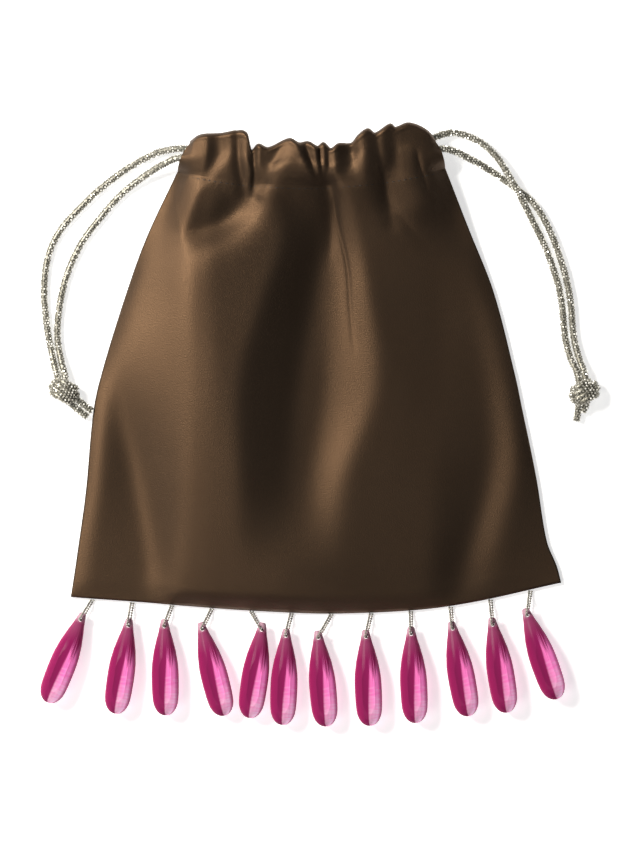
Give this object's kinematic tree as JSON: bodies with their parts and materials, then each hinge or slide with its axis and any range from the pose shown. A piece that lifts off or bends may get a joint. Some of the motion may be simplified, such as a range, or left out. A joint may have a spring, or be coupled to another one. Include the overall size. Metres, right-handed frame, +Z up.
{
  "type": "drawstring pouch",
  "caption": "Soft satin drawstring pouch lying flat, with a gathered casing, knotted crystal-mesh drawcords at both sides and faceted drops on bead loops along the bottom seam.",
  "frame": {"origin": "on the surface that the pouch lies on, under the middle of the footprint of the pouch and its drops", "axes": "+X across the pouch to the right as seen from above, +Y from the drops towards the mouth, +Z up from the surface"},
  "size_m": [0.2526, 0.271, 0.0319],
  "materials": {
    "satin": "dark brown satin with a soft sheen",
    "crystal_cord": "knitted mesh filled with small silver-grey crystals",
    "silver_beads": "silver-lined seed beads",
    "magenta_drop": "clear magenta, polished facets"
  },
  "bodies": {
    "root": {"front_panel": "satin", "back_panel": "satin", "left_cord_back": "crystal_cord", "left_cord_front": "crystal_cord", "left_knot": "crystal_cord", "right_cord_back": "crystal_cord", "right_cord_front": "crystal_cord", "right_knot": "crystal_cord", "drop_01": "magenta_drop", "bead_loop_01": "silver_beads", "drop_02": "magenta_drop", "bead_loop_02": "silver_beads", "drop_03": "magenta_drop", "bead_loop_03": "silver_beads", "drop_04": "magenta_drop", "bead_loop_04": "silver_beads", "drop_05": "magenta_drop", "bead_loop_05": "silver_beads", "drop_06": "magenta_drop", "bead_loop_06": "silver_beads", "drop_07": "magenta_drop", "bead_loop_07": "silver_beads", "drop_08": "magenta_drop", "bead_loop_08": "silver_beads", "drop_09": "magenta_drop", "bead_loop_09": "silver_beads", "drop_10": "magenta_drop", "bead_loop_10": "silver_beads", "drop_11": "magenta_drop", "bead_loop_11": "silver_beads", "drop_12": "magenta_drop", "bead_loop_12": "silver_beads"}
  },
  "joints": []
}
